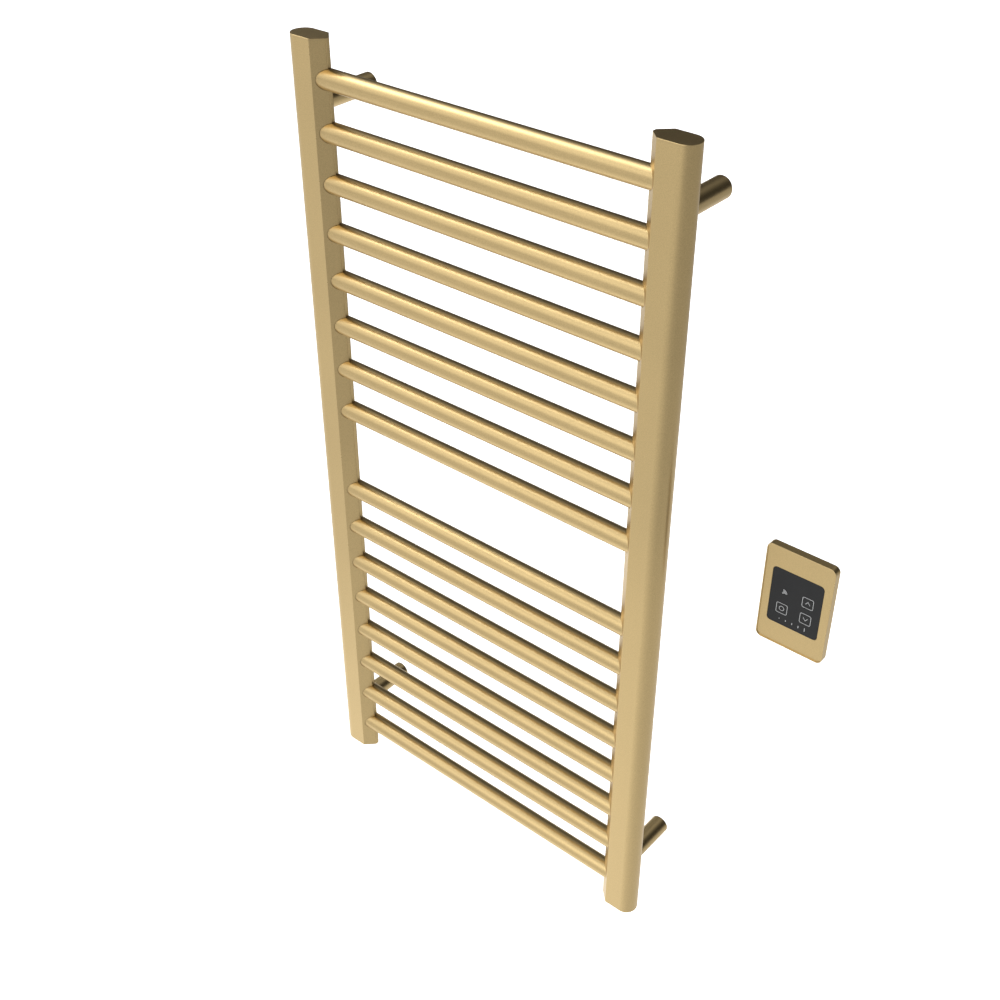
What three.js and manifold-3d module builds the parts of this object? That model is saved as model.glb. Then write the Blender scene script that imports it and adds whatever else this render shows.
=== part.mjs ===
// Wall-mounted electric towel warmer rack with its wall touch controller.
// Millimetres, +Z up. The wall is the plane y = 0, the rack stands in front of it towards -Y, x = 0 is midway
// between the two uprights and z = 0 is the bottom of the uprights.
import * as THREE from "three";
import { mergeVertices } from "three/addons/utils/BufferGeometryUtils.js";
import Module from "manifold-3d";

const wasm = await Module();
wasm.setup();

// ---------------------------------------------------------------- driving dimensions
const GAP = 0.3; // clearance kept between pieces that touch

const RACK_HEIGHT = 1000;
const BAR_AXIS_Y = -81.5; // bars and uprights share this centre plane, measured from the wall

const UPRIGHT_INNER_X = 201.26; // flat nose of the upright, facing the bars
const UPRIGHT_NOSE_HALF = 2.33; // half width of that flat nose
const UPRIGHT_CHAMFER = 12.58; // run of the chamfers, along X
const UPRIGHT_FLAT_END = 34.34; // end of the parallel flats, from the nose
const UPRIGHT_HALF_DEPTH = 14.585; // half of the section's depth and radius of its round outer side
const UPRIGHT_WALL = 2.0;
const UPRIGHT_ARC_STEPS = 12;

const BAR_RADIUS = 11.6;
const BAR_BORE = 10.1;
const BAR_END_X = 214; // each bar runs through the upright's inner wall
const BAR_PITCH = 57.15;
const BAR_STEPS = [8, 7, 6, 5, 4, 3, 2, 1, -1, -2, -3, -4, -5, -6, -7, -8]; // positions about mid height
const BAR_SIDES = 16;
const BORE_SIDES = 12;

const CAP_PLATE = 1.5;
const CAP_SKIRT = 10;
const CAP_SKIRT_WALL = 1.6;

const STANDOFF_X = 225.74;
const STANDOFF_STEPS = 7.5; // standoffs sit 7.5 pitches above and below mid height
const STANDOFF_RADIUS = 11.57;
const STANDOFF_BORE = 9.57;
const SPIGOT_RADIUS = 9.15;
const SPIGOT_LENGTH = 30;
const SPIGOT_FLAT = 7.1; // distance from the spigot's axis to the flat under it
const SPIGOT_SCREW_R = 2.75;
const SPIGOT_ENTRY_R = 6; // hollow spigot at the cable entry
const GRUB_Y = -15;
const GRUB_RADIUS = 2.4;
const GRUB_HOLE = 2.75;
const ENTRY_HOLE = 9;

const CABLE_R = 2.5;
const LEAD_R = 2.6;
const CABLE_SAG = 6.6; // the cable lies on the bottom of each bore
const LEAD_SAG = 4.8; // the bottom bar also holds the thicker limiter
const LIMITER_R = 4.4;
const EARTH_WIRE_R = 1.05;
const EARTH_X = STANDOFF_X + 5.6;
const EARTH_STUD_Z = 20;

const CTRL_X = 365.3; // centre of the wall controller
const CTRL_Z = 513.15;
const CTRL_W = 79.4;
const CTRL_H = 124;
const CTRL_T = 9.5;
const CTRL_CORNER = 7;
const CTRL_RIM = 1.1; // width of the raised rim round the front face
const CTRL_RECESS = 1.0; // how far the front face lies behind the rim
const CTRL_SIDE_WALL = 2;
const CTRL_FRONT_WALL = 1.6;
const GLASS_W = 59.4;
const GLASS_H = 70.7;
const GLASS_CORNER = 4.7;
const BACK_PLATE_T = 1.2;
const BOARD_W = 66;
const BOARD_H = 108;
const BOARD_SCREW_X = 29;
const BOARD_SCREW_Z = 49;

// ---------------------------------------------------------------- finishes
const finish = {
  gold: { color: 0xc2a26a, roughness: 0.38, metalness: 1.0 },
  gold_dark: { color: 0xb3935c, roughness: 0.42, metalness: 1.0 },
  steel: { color: 0xb9bcc0, roughness: 0.35, metalness: 1.0 },
  zinc: { color: 0xa7abae, roughness: 0.5, metalness: 0.9 },
  rubber: { color: 0x1c1c1d, roughness: 0.85, metalness: 0.0 },
  silicone: { color: 0x8f2f26, roughness: 0.6, metalness: 0.0 },
  lead: { color: 0x202124, roughness: 0.55, metalness: 0.0 },
  earth: { color: 0x5a9a3a, roughness: 0.55, metalness: 0.0 },
  glass: { color: 0x2e2f31, roughness: 0.12, metalness: 0.0 },
  foam: { color: 0x19191a, roughness: 0.95, metalness: 0.0 },
  acrylic: { color: 0xe6e8e6, roughness: 0.3, metalness: 0.0 },
  board: { color: 0x1f5b3a, roughness: 0.5, metalness: 0.0 },
  chip: { color: 0x161718, roughness: 0.6, metalness: 0.0 },
};
const material = (kind) => new THREE.MeshStandardMaterial(finish[kind]);

// ---------------------------------------------------------------- solids
function solid(geometry) {
  const bare = geometry.index ? geometry.toNonIndexed() : geometry.clone();
  for (const name of Object.keys(bare.attributes))
    if (name !== "position") bare.deleteAttribute(name);
  const merged = mergeVertices(bare, 1e-4);
  const vertProperties = new Float32Array(merged.attributes.position.array);
  const triVerts = new Uint32Array(merged.index.array);
  const build = () =>
    new wasm.Manifold(new wasm.Mesh({ numProp: 3, vertProperties, triVerts }));
  let made = build();
  if (made.volume() < 0) {
    for (let i = 0; i < triVerts.length; i += 3) {
      const keep = triVerts[i + 1];
      triVerts[i + 1] = triVerts[i + 2];
      triVerts[i + 2] = keep;
    }
    made = build();
  }
  return made;
}

function geometryOf(manifold) {
  const m = manifold.getMesh();
  const position = new Float32Array(m.numVert * 3);
  for (let i = 0; i < m.numVert; i++)
    for (let k = 0; k < 3; k++)
      position[i * 3 + k] = m.vertProperties[i * m.numProp + k];
  const g = new THREE.BufferGeometry();
  g.setAttribute("position", new THREE.BufferAttribute(position, 3));
  g.setIndex(new THREE.BufferAttribute(new Uint32Array(m.triVerts), 1));
  g.computeVertexNormals();
  return g;
}

const ring = (radius, sides, turn = 0) =>
  Array.from({ length: sides }, (_, i) => {
    const a = ((i + turn) * 2 * Math.PI) / sides;
    return new THREE.Vector2(radius * Math.cos(a), radius * Math.sin(a));
  });

function roundedRect(w, h, r, steps = 4) {
  const out = [];
  for (const [cx, cy, from] of [
    [w / 2 - r, h / 2 - r, 0],
    [-w / 2 + r, h / 2 - r, 90],
    [-w / 2 + r, -h / 2 + r, 180],
    [w / 2 - r, -h / 2 + r, 270],
  ])
    for (let i = 0; i <= steps; i++) {
      const a = ((from + (90 * i) / steps) * Math.PI) / 180;
      out.push(
        new THREE.Vector2(cx + r * Math.cos(a), cy + r * Math.sin(a)),
      );
    }
  return out;
}

const rect = (w, h) => [
  new THREE.Vector2(w / 2, h / 2),
  new THREE.Vector2(-w / 2, h / 2),
  new THREE.Vector2(-w / 2, -h / 2),
  new THREE.Vector2(w / 2, -h / 2),
];

// A prism of an outline, from 0 to depth along +Z.
function prism(outline, depth, holes = []) {
  const shape = new THREE.Shape(outline);
  for (const h of holes) shape.holes.push(new THREE.Path(h));
  return new THREE.ExtrudeGeometry(shape, {
    depth,
    steps: 1,
    bevelEnabled: false,
    curveSegments: 1,
  });
}

// The same prism with its outline in XZ (seen from the front) and its depth running from y0 to y1.
function frontPrism(outline, y0, y1, holes = []) {
  const g = prism(outline, y1 - y0, holes);
  g.rotateX(Math.PI / 2); // (x, y, z) -> (x, -z, y)
  g.translate(0, y1, 0);
  return g;
}

// A prism along X, centred on y = z = 0, from x0 to x1.
function barPrism(outline, x0, x1, holes = []) {
  const g = prism(outline, x1 - x0, holes);
  g.rotateY(Math.PI / 2);
  g.translate(x0, 0, 0);
  return g;
}

// A turned piece about the Y axis from a closed (r, y) profile.
function turned(profile, sides) {
  const closed = [...profile, profile[0]].map(
    ([r, y]) => new THREE.Vector2(r, y),
  );
  return new THREE.LatheGeometry(closed, sides);
}

// A turned solid whose profile starts and ends on the axis.
function turnedSolid(profile, sides) {
  return new THREE.LatheGeometry(
    profile.map(([r, y]) => new THREE.Vector2(r, y)),
    sides,
  );
}

const box = (x0, x1, y0, y1, z0, z1) => {
  const g = new THREE.BoxGeometry(x1 - x0, y1 - y0, z1 - z0);
  g.translate((x0 + x1) / 2, (y0 + y1) / 2, (z0 + z1) / 2);
  return g;
};

const moved = (g, x, y, z) => g.clone().translate(x, y, z);

// ---------------------------------------------------------------- cable runs
// A path made of straight runs and arcs, listed by its own vertices, so that straight runs take one step.
class RunCurve extends THREE.Curve {
  constructor() {
    super();
    this.points = [];
    this.tangents = [];
  }
  start(point, direction) {
    this.points.push(point.clone());
    this.tangents.push(direction.clone().normalize());
    return this;
  }
  straight(length) {
    const p = this.points.at(-1),
      t = this.tangents.at(-1);
    if (length > 1e-6) {
      this.points.push(p.clone().addScaledVector(t, length));
      this.tangents.push(t.clone());
    }
    return this;
  }
  // Turns towards the unit vector side through an angle, on a radius.
  arc(side, radius, angle, steps) {
    const p0 = this.points.at(-1).clone(),
      t0 = this.tangents.at(-1).clone();
    for (let i = 1; i <= steps; i++) {
      const a = (angle * i) / steps;
      this.points.push(
        p0
          .clone()
          .addScaledVector(t0, radius * Math.sin(a))
          .addScaledVector(side, radius * (1 - Math.cos(a))),
      );
      this.tangents.push(
        t0
          .clone()
          .multiplyScalar(Math.cos(a))
          .addScaledVector(side, Math.sin(a))
          .normalize(),
      );
    }
    return this;
  }
  get steps() {
    return this.points.length - 1;
  }
  getPointAt(u) {
    const k = Math.min(this.steps, Math.round(u * this.steps));
    return this.points[k].clone();
  }
  getPoint(t) {
    return this.getPointAt(t);
  }
  getTangentAt(u) {
    const k = Math.min(this.steps, Math.round(u * this.steps));
    return this.tangents[k].clone();
  }
  getTangent(t) {
    return this.getTangentAt(t);
  }
  getSpacedPoints() {
    return this.points.map((p) => p.clone());
  }
  get runLength() {
    let sum = 0;
    for (let i = 1; i < this.points.length; i++)
      sum += this.points[i].distanceTo(this.points[i - 1]);
    return sum;
  }
}

const cableGeometry = (run, radius, sides) =>
  new THREE.ExtrudeGeometry(new THREE.Shape(ring(radius, sides)), {
    steps: run.steps,
    extrudePath: run,
    bevelEnabled: false,
    curveSegments: 1,
  });

const X = new THREE.Vector3(1, 0, 0);
const Y = new THREE.Vector3(0, 1, 0);
const Z = new THREE.Vector3(0, 0, 1);
const minus = (v) => v.clone().negate();

// ---------------------------------------------------------------- assembly
const root = new THREE.Group();
function piece(name, geometry, kind, x = 0, y = 0, z = 0) {
  const made = geometry.isBufferGeometry
    ? geometryOf(solid(geometry))
    : geometryOf(geometry);
  const mesh = new THREE.Mesh(made, material(kind));
  mesh.name = name;
  mesh.position.set(x, y, z);
  root.add(mesh);
  return mesh;
}

const MID = RACK_HEIGHT / 2;
const barZ = BAR_STEPS.map((k) => MID + k * BAR_PITCH);
const standoffZ = {
  top: MID + STANDOFF_STEPS * BAR_PITCH,
  bottom: MID - STANDOFF_STEPS * BAR_PITCH,
};
const hand = { left: -1, right: 1 };

// Section of the right-hand upright, about its own centre plane, inset by a distance.
function uprightOutline(inset) {
  const r = UPRIGHT_HALF_DEPTH - inset;
  const cx = UPRIGHT_INNER_X + UPRIGHT_FLAT_END;
  const slope = Math.atan2(
    UPRIGHT_HALF_DEPTH - UPRIGHT_NOSE_HALF,
    UPRIGHT_CHAMFER,
  );
  // Chamfer line x = a + (y - nose) / tan(slope), pushed inwards by the inset.
  const push = inset / Math.sin(slope);
  const chamferX = (y) =>
    UPRIGHT_INNER_X + (y - UPRIGHT_NOSE_HALF) / Math.tan(slope) + push;
  const noseX = UPRIGHT_INNER_X + inset;
  const noseY =
    UPRIGHT_NOSE_HALF + (noseX - UPRIGHT_INNER_X - push) * Math.tan(slope);
  const out = [
    new THREE.Vector2(noseX, -noseY),
    new THREE.Vector2(chamferX(r), -r),
  ];
  for (let i = 0; i <= UPRIGHT_ARC_STEPS; i++) {
    const a = -Math.PI / 2 + (Math.PI * i) / UPRIGHT_ARC_STEPS;
    out.push(new THREE.Vector2(cx + r * Math.cos(a), r * Math.sin(a)));
  }
  out.push(new THREE.Vector2(chamferX(r), r), new THREE.Vector2(noseX, noseY));
  return out;
}
const mirrored = (outline) =>
  outline.map((p) => new THREE.Vector2(-p.x, p.y)).reverse();

// --- uprights: hollow sections, drilled for the bars on the inner side
for (const [side, s] of Object.entries(hand)) {
  const outer = s > 0 ? uprightOutline(0) : mirrored(uprightOutline(0));
  const inner =
    s > 0
      ? uprightOutline(UPRIGHT_WALL)
      : mirrored(uprightOutline(UPRIGHT_WALL));
  const low = CAP_PLATE + GAP;
  const tube = prism(outer, RACK_HEIGHT - 2 * low, [inner]);
  tube.translate(0, BAR_AXIS_Y, low);
  let made = solid(tube);
  for (const z of barZ) {
    const x0 = s > 0 ? UPRIGHT_INNER_X - 3 : -BAR_END_X - 6;
    const x1 = s > 0 ? BAR_END_X + 6 : -UPRIGHT_INNER_X + 3;
    made = made.subtract(
      solid(
        moved(
          barPrism(ring(BAR_RADIUS + GAP, BAR_SIDES, 0.5), x0, x1),
          0,
          BAR_AXIS_Y,
          z,
        ),
      ),
    );
  }
  if (s > 0) {
    // cable entry through the back wall, inside the bottom standoff
    made = made.subtract(
      solid(
        moved(
          frontPrism(ring(ENTRY_HOLE, 16), -8, 8),
          STANDOFF_X,
          BAR_AXIS_Y + UPRIGHT_HALF_DEPTH,
          standoffZ.bottom,
        ),
      ),
    );
  }
  piece(`upright_${side}`, made, "gold");
}

// --- bars
barZ.forEach((z, i) => {
  piece(
    `bar_${String(i + 1).padStart(2, "0")}`,
    barPrism(ring(BAR_RADIUS, BAR_SIDES, 0.5), -BAR_END_X, BAR_END_X, [
      ring(BAR_BORE, BORE_SIDES, 0.5),
    ]),
    "gold",
    0,
    BAR_AXIS_Y,
    z,
  );
});

// --- end caps: a plate flush with the section, and a skirt pressed into it
for (const [side, s] of Object.entries(hand)) {
  const pick = (inset) =>
    s > 0 ? uprightOutline(inset) : mirrored(uprightOutline(inset));
  for (const end of ["top", "bottom"]) {
    const plate = prism(pick(0), CAP_PLATE);
    const skirt = prism(pick(UPRIGHT_WALL + GAP), CAP_SKIRT + 0.5, [
      pick(UPRIGHT_WALL + GAP + CAP_SKIRT_WALL),
    ]);
    skirt.translate(0, 0, CAP_PLATE - 0.5);
    let made = solid(plate).add(solid(skirt));
    if (end === "top") {
      // the same cap, turned over in z
      made = made.mirror([0, 0, 1]).translate([0, 0, RACK_HEIGHT]);
    }
    piece(`end_cap_${end}_${side}`, made, "gold_dark", 0, BAR_AXIS_Y, 0);
  }
}

// --- standoffs, wall spigots and grub screws
const standoffFront = BAR_AXIS_Y + UPRIGHT_HALF_DEPTH + GAP;
for (const [end, z] of Object.entries(standoffZ))
  for (const [side, s] of Object.entries(hand)) {
    const x = s * STANDOFF_X;
    const isEntry = end === "bottom" && side === "right";
    // sleeve
    const sleeve = solid(
      turned(
        [
          [STANDOFF_BORE, -GAP],
          [STANDOFF_RADIUS, -GAP],
          [STANDOFF_RADIUS, standoffFront],
          [STANDOFF_BORE, standoffFront],
        ],
        24,
      ),
    ).subtract(
      solid(moved(prism(ring(GRUB_HOLE, 10), 8), 0, GRUB_Y, -14)),
    );
    piece(`standoff_${end}_${side}`, sleeve, "gold", x, 0, z);

    // spigot, with a flat under it for the grub screw
    const bore = isEntry ? SPIGOT_ENTRY_R : SPIGOT_SCREW_R;
    const head = isEntry ? SPIGOT_ENTRY_R : 5.5;
    const profile = isEntry
      ? [
          [bore, 0],
          [SPIGOT_RADIUS, 0],
          [SPIGOT_RADIUS, -SPIGOT_LENGTH + 1],
          [SPIGOT_RADIUS - 1, -SPIGOT_LENGTH],
          [bore, -SPIGOT_LENGTH],
        ]
      : [
          [bore, 0],
          [SPIGOT_RADIUS, 0],
          [SPIGOT_RADIUS, -SPIGOT_LENGTH + 1],
          [SPIGOT_RADIUS - 1, -SPIGOT_LENGTH],
          [head, -SPIGOT_LENGTH],
          [bore, -SPIGOT_LENGTH + 3],
        ];
    const spigot = solid(turned(profile, 20)).subtract(
      solid(box(-12, 12, -SPIGOT_LENGTH - 1, -4, -14, -SPIGOT_FLAT)),
    );
    piece(`wall_spigot_${end}_${side}`, spigot, "zinc", x, 0, z);

    // grub screw with a hex socket, standing on the flat
    const grub = solid(prism(ring(GRUB_RADIUS, 12), 3.8)).subtract(
      solid(moved(prism(ring(1.45, 6), 3), 0, 0, -1)),
    );
    piece(
      `grub_screw_${end}_${side}`,
      grub,
      "steel",
      x,
      GRUB_Y,
      z - STANDOFF_RADIUS + 0.35,
    );
  }

// --- heating circuit inside the tubes
{
  const zEntry = standoffZ.bottom;
  const bottom = barZ[15] - LEAD_SAG;

  // gland: a rubber bush in the entry standoff, with one bore for the lead and one for the earth wire
  const gland = solid(
    frontPrism(ring(9.1, 20), -62, -50, [ring(LEAD_R + 0.35, 12)]),
  ).subtract(
    solid(
      moved(frontPrism(ring(EARTH_WIRE_R + 0.35, 8), -64, -48), 5.6, 0, 0),
    ),
  );
  piece("cable_gland", gland, "rubber", STANDOFF_X, 0, zEntry);

  // cold lead: from the gland, down inside the upright and into the bottom bar
  const bend1 = -BAR_AXIS_Y - 68;
  const bend2 = STANDOFF_X - BAR_END_X - 0.54;
  const lead = new RunCurve()
    .start(new THREE.Vector3(STANDOFF_X, -46, zEntry), minus(Y))
    .straight(22)
    .arc(minus(Z), bend1, Math.PI / 2, 6)
    .straight(zEntry - bend1 - (bottom + bend2))
    .arc(minus(X), bend2, Math.PI / 2, 6)
    .straight(20);
  piece("cold_lead", cableGeometry(lead, LEAD_R, 8), "lead");
  const leadEnd = lead.points.at(-1);

  // thermal limiter: a barrel in the bottom bar, tapered to the lead at one end and the cable at the other
  const limiter = turnedSolid(
    [
      [0, 0],
      [LEAD_R, 0],
      [LIMITER_R, 5],
      [LIMITER_R, 29],
      [CABLE_R, 34],
      [0, 34],
    ],
    12,
  );
  limiter.rotateZ(Math.PI / 2); // +Y -> -X
  piece(
    "thermal_limiter",
    limiter,
    "rubber",
    leadEnd.x - GAP,
    BAR_AXIS_Y,
    bottom,
  );

  // heating cable: back and forth through every bar, looping inside the uprights
  const cableZ = barZ.map((z, i) => z - (i === 15 ? LEAD_SAG : CABLE_SAG));
  const startX = leadEnd.x - 34 - 2 * GAP;
  const turnX = BAR_END_X + 0.5;
  const run = new RunCurve().start(
    new THREE.Vector3(startX, BAR_AXIS_Y, cableZ[15]),
    minus(X),
  );
  let direction = -1,
    at = startX;
  for (let i = 15; i >= 0; i--) {
    if (i === 0) {
      run.straight(BAR_END_X + 8 - at);
      break;
    }
    run.straight(Math.abs(direction * turnX - at));
    const rise = cableZ[i - 1] - cableZ[i];
    const radius = Math.min(rise / 2, BAR_PITCH / 2);
    run.arc(Z, radius, Math.PI / 2, 4);
    run.straight(rise - 2 * radius);
    run.arc(direction < 0 ? X : minus(X), radius, Math.PI / 2, 4);
    at = direction * turnX;
    direction = -direction;
  }
  piece("heating_cable", cableGeometry(run, CABLE_R, 6), "silicone");
  const cableEnd = run.points.at(-1);

  // end seal: a cap over the cable's far end, inside the top of the right upright
  const seal = turned(
    [
      [CABLE_R + 0.35, 0],
      [4, 0],
      [4, 15],
      [3, 16.5],
      [0.8, 16.5],
      [0.8, 7],
      [CABLE_R + 0.35, 7],
    ],
    12,
  );
  seal.rotateZ(-Math.PI / 2); // +Y -> +X
  piece(
    "cable_end_seal",
    seal,
    "rubber",
    cableEnd.x - 6.6,
    BAR_AXIS_Y,
    cableEnd.z,
  );

  // earth point: a welded stud inside the front wall, above the bottom cap
  const wallInside = BAR_AXIS_Y - UPRIGHT_HALF_DEPTH + UPRIGHT_WALL;
  const stud = turnedSolid(
    [
      [0, 0],
      [3.5, 0],
      [3.5, 1.9],
      [2, 1.9],
      [2, 8.3],
      [0, 8.3],
    ],
    12,
  );
  piece("earth_stud", stud, "steel", EARTH_X, wallInside + GAP, EARTH_STUD_Z);
  const tagY = wallInside + GAP + 1.9 + GAP;
  const tag = solid(frontPrism(ring(4.2, 14), 0, 0.8))
    .add(solid(box(-1.7, 1.7, 0, 0.8, 3.2, 8)))
    .subtract(solid(frontPrism(ring(2.35, 12), -1, 2)))
    .add(solid(moved(prism(ring(1.7, 8, 0.5), 6), 0, 0.9, 7.4)));
  piece("earth_ring_terminal", tag, "zinc", EARTH_X, tagY, EARTH_STUD_Z);
  const nut = frontPrism(ring(4.04, 6), 0, 3.2, [ring(2.35, 12)]);
  piece(
    "earth_nut",
    nut,
    "steel",
    EARTH_X,
    tagY + 0.8 + GAP,
    EARTH_STUD_Z,
  );
  const wireY = tagY + 0.9;
  const wireBend = 9;
  const wire = new RunCurve()
    .start(new THREE.Vector3(EARTH_X, -46, zEntry), minus(Y))
    .straight(-wireY - wireBend - 46)
    .arc(minus(Z), wireBend, Math.PI / 2, 5)
    .straight(zEntry - wireBend - (EARTH_STUD_Z + 13.4 + GAP));
  piece("earth_wire", cableGeometry(wire, EARTH_WIRE_R, 6), "earth");
}

// --- wall controller
{
  const part = (name, g, kind) => piece(name, g, kind, CTRL_X, 0, CTRL_Z);
  const front = -CTRL_T;
  const faceY = front + CTRL_RECESS; // the front face inside the rim
  const wallBack = faceY + CTRL_FRONT_WALL; // rear of the front wall
  const inW = CTRL_W - 2 * CTRL_SIDE_WALL;
  const inH = CTRL_H - 2 * CTRL_SIDE_WALL;

  // back plate, screwed flat to the wall, with a lug at the top and a drilled tab at the bottom
  const slot = (z) => {
    const s = new THREE.Shape(roundedRect(4.4, 10, 2.19, 3));
    return s.getPoints(1).map((p) => new THREE.Vector2(p.x, p.y + z));
  };
  let back = solid(
    frontPrism(
      roundedRect(inW - 2 * GAP, inH - 2 * GAP, CTRL_CORNER - CTRL_SIDE_WALL, 3),
      -BACK_PLATE_T,
      0,
      [slot(41.65), slot(-41.65)],
    ),
  );
  const edge = inH / 2 - GAP;
  back = back
    .add(solid(box(-9, 9, -5.0, -0.5, edge - 1.5, edge)))
    .add(solid(box(-7, 7, -5.4, -0.5, -edge, -edge + 1.5)))
    .subtract(
      solid(moved(prism(ring(1.75, 10), 8), 0, -3.3, -CTRL_H / 2 - 1)),
    );
  part("controller_back_plate", back, "zinc");

  // faceplate: a shallow tray whose front face lies inside a thin raised rim, with bosses for the board and a window
  let face = solid(
    frontPrism(roundedRect(CTRL_W, CTRL_H, CTRL_CORNER, 5), front, -GAP),
  );
  face = face.subtract(
    solid(
      frontPrism(
        roundedRect(
          CTRL_W - 2 * CTRL_RIM,
          CTRL_H - 2 * CTRL_RIM,
          CTRL_CORNER - CTRL_RIM,
          5,
        ),
        front - 2,
        faceY,
      ),
    ),
  );
  face = face.subtract(
    solid(
      frontPrism(
        roundedRect(inW, inH, CTRL_CORNER - CTRL_SIDE_WALL, 4),
        wallBack,
        2,
      ),
    ),
  );
  face = face.subtract(
    solid(
      frontPrism(
        roundedRect(GLASS_W + 2 * GAP, GLASS_H + 2 * GAP, GLASS_CORNER + GAP, 5),
        front - 2,
        0,
      ),
    ),
  );
  for (const sx of [-1, 1])
    for (const sz of [-1, 1]) {
      const x = sx * BOARD_SCREW_X,
        z = sz * BOARD_SCREW_Z;
      face = face.add(
        solid(
          moved(frontPrism(ring(2.6, 10), wallBack - 0.3, wallBack + 1.0), x, 0, z),
        ),
      );
      face = face.subtract(
        solid(moved(frontPrism(ring(1.2, 8), wallBack + 0.1, wallBack + 3), x, 0, z)),
      );
    }
  face = face.subtract(
    solid(moved(prism(ring(1.8, 10), 6), 0, -3.3, -CTRL_H / 2 - 2)),
  );
  part("controller_faceplate", face, "gold");

  // touch glass, its gasket and the light guide behind the keys
  part(
    "touch_glass",
    frontPrism(
      roundedRect(GLASS_W, GLASS_H, GLASS_CORNER, 5),
      faceY + 0.05,
      wallBack,
    ),
    "glass",
  );
  part(
    "glass_gasket",
    frontPrism(roundedRect(66, 77.3, 3, 2), wallBack + GAP, wallBack + 0.7, [
      roundedRect(54, 65, 2, 2),
    ]),
    "foam",
  );
  part(
    "light_guide",
    frontPrism(roundedRect(53, 64, 2, 2), wallBack + GAP, wallBack + 1.0),
    "acrylic",
  );

  // control board and what it carries, and its four screws into the faceplate
  const boardFront = wallBack + 1.3;
  const boardBack = boardFront + 1.0;
  part(
    "control_board",
    frontPrism(
      rect(BOARD_W, BOARD_H),
      boardFront,
      boardBack,
      [-1, 1].flatMap((sx) =>
        [-1, 1].map((sz) =>
          ring(1.3, 8).map(
            (p) =>
              new THREE.Vector2(
                p.x + sx * BOARD_SCREW_X,
                p.y + sz * BOARD_SCREW_Z,
              ),
          ),
        ),
      ),
    ),
    "board",
  );
  const seat = boardBack + GAP;
  part("control_chip", box(-14, -4, seat, seat + 1.2, 6, 16), "chip");
  part("radio_module", box(6, 20, seat, seat + 2, 22, 40), "steel");
  part(
    "coin_cell",
    moved(frontPrism(ring(10, 20), seat + 0.2, seat + 1.8), 0, 0, -22),
    "steel",
  );
  // battery clip: an open C round the cell
  const clip = solid(
    moved(
      frontPrism(ring(11.6, 20), seat, seat + 2.6, [ring(10.4, 20)]),
      0,
      0,
      -22,
    ),
  ).subtract(solid(box(-6, 6, seat - 1, seat + 4, -14, -5)));
  part("battery_clip", clip, "zinc");
  let k = 1;
  for (const sz of [1, -1])
    for (const sx of [-1, 1]) {
      const shank = solid(
        frontPrism(ring(0.85, 8), wallBack + 0.5, seat + 0.3),
      ).add(solid(frontPrism(ring(1.9, 10), seat, seat + 1.2)));
      piece(
        `board_screw_${k++}`,
        shank,
        "steel",
        CTRL_X + sx * BOARD_SCREW_X,
        0,
        CTRL_Z + sz * BOARD_SCREW_Z,
      );
    }
  // lock screw up through the bottom edge into the back plate's tab
  const lock = solid(prism(ring(1.45, 10), 4.6)).subtract(
    solid(moved(prism(ring(0.8, 6), 2.4), 0, 0, -0.8)),
  );
  piece(
    "faceplate_lock_screw",
    lock,
    "steel",
    CTRL_X,
    -3.3,
    CTRL_Z - CTRL_H / 2 + 0.4,
  );
}

export default root;
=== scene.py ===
import bpy, bmesh, math
from mathutils import Vector, Matrix
from mathutils.kdtree import KDTree


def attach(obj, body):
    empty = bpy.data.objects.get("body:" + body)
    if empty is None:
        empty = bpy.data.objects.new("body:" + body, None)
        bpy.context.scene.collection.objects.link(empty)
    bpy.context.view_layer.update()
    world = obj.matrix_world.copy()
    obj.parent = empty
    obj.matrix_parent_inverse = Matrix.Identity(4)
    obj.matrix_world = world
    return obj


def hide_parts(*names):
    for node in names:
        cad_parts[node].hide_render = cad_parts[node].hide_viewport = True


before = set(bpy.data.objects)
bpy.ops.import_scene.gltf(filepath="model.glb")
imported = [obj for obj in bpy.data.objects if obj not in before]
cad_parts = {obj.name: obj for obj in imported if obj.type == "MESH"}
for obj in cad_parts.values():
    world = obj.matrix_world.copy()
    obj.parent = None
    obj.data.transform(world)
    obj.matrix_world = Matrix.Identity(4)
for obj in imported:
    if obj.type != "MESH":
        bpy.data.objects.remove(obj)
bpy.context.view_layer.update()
scene = bpy.context.scene
MM = 0.001

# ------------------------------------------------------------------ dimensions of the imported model, in millimetres
H = 1000.0
AXIS_Y = -81.5
INNER_X, NOSE, CHAMFER, FLAT_END, HALF_D, WALL = 201.26, 2.33, 12.58, 34.34, 14.585, 2.0
BAR_R, BAR_BORE, BAR_END = 11.6, 10.1, 214.0
PITCH = 57.15
BAR_Z = [500 + k * PITCH for k in (8, 7, 6, 5, 4, 3, 2, 1, -1, -2, -3, -4, -5, -6, -7, -8)]
SO_X, SO_R, SO_BORE = 225.74, 11.57, 9.57
SO_Z = {"top": 500 + 7.5 * PITCH, "bottom": 500 - 7.5 * PITCH}
SPIGOT_R, SPIGOT_L, SPIGOT_FLAT = 9.15, 30.0, 7.1
CAP_T = 1.5
CX, CZ, CW, CH, CT, CR = 365.3, 513.15, 79.4, 124.0, 9.5, 7.0
GW, GH, GR = 59.4, 70.7, 4.7


# ------------------------------------------------------------------ mesh helpers
def new_object(name, verts, faces, scale=MM):
    me = bpy.data.meshes.new(name)
    me.from_pydata([(x * scale, y * scale, z * scale) for x, y, z in verts], [], faces)
    me.validate()
    bm = bmesh.new()
    bm.from_mesh(me)
    bmesh.ops.recalc_face_normals(bm, faces=bm.faces)
    bm.to_mesh(me)
    bm.free()
    ob = bpy.data.objects.new(name, me)
    scene.collection.objects.link(ob)
    return ob


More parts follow.
